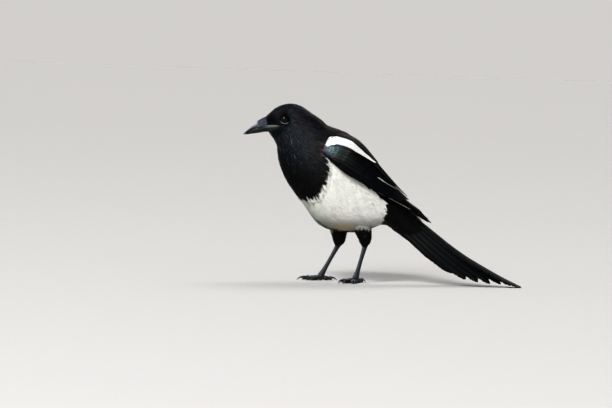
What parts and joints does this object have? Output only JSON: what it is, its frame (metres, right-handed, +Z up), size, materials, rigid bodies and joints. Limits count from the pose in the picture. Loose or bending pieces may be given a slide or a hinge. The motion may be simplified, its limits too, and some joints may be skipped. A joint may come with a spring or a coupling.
{
  "type": "eurasian magpie",
  "caption": "Standing magpie, life size, with a stout pointed bill, folded feathered wings and a long tail whose tip rests on the ground.",
  "frame": {"origin": "on the ground, below the middle of the whole bird's bounding box", "axes": "+X from bill to tail, +Y towards the bird's right side, +Z up"},
  "size_m": [0.3656, 0.0868, 0.2277],
  "materials": {
    "black_plumage": "soft feather, black",
    "white_plumage": "soft feather, off-white",
    "glossy_plumage": "smooth feather, black with a blue and green gloss",
    "horn": "smooth horn, slate black",
    "scaly_skin": "scaled skin, slate",
    "eye": "wet and glossy, dark brown"
  },
  "bodies": {
    "root": {"head": "black_plumage", "neck": "black_plumage", "breast": "black_plumage", "back": "black_plumage", "left_thigh": "black_plumage", "right_thigh": "black_plumage", "belly": "white_plumage", "left_scapulars": "white_plumage", "right_scapulars": "white_plumage", "left_wing": "glossy_plumage", "right_wing": "glossy_plumage", "tail": "glossy_plumage", "bill_upper": "horn", "bill_lower": "horn", "left_hind_claw": "horn", "left_inner_claw": "horn", "left_middle_claw": "horn", "left_outer_claw": "horn", "right_hind_claw": "horn", "right_inner_claw": "horn", "right_middle_claw": "horn", "right_outer_claw": "horn", "left_tarsus": "scaly_skin", "right_tarsus": "scaly_skin", "left_foot": "scaly_skin", "right_foot": "scaly_skin", "left_eye": "eye", "right_eye": "eye"}
  },
  "joints": []
}
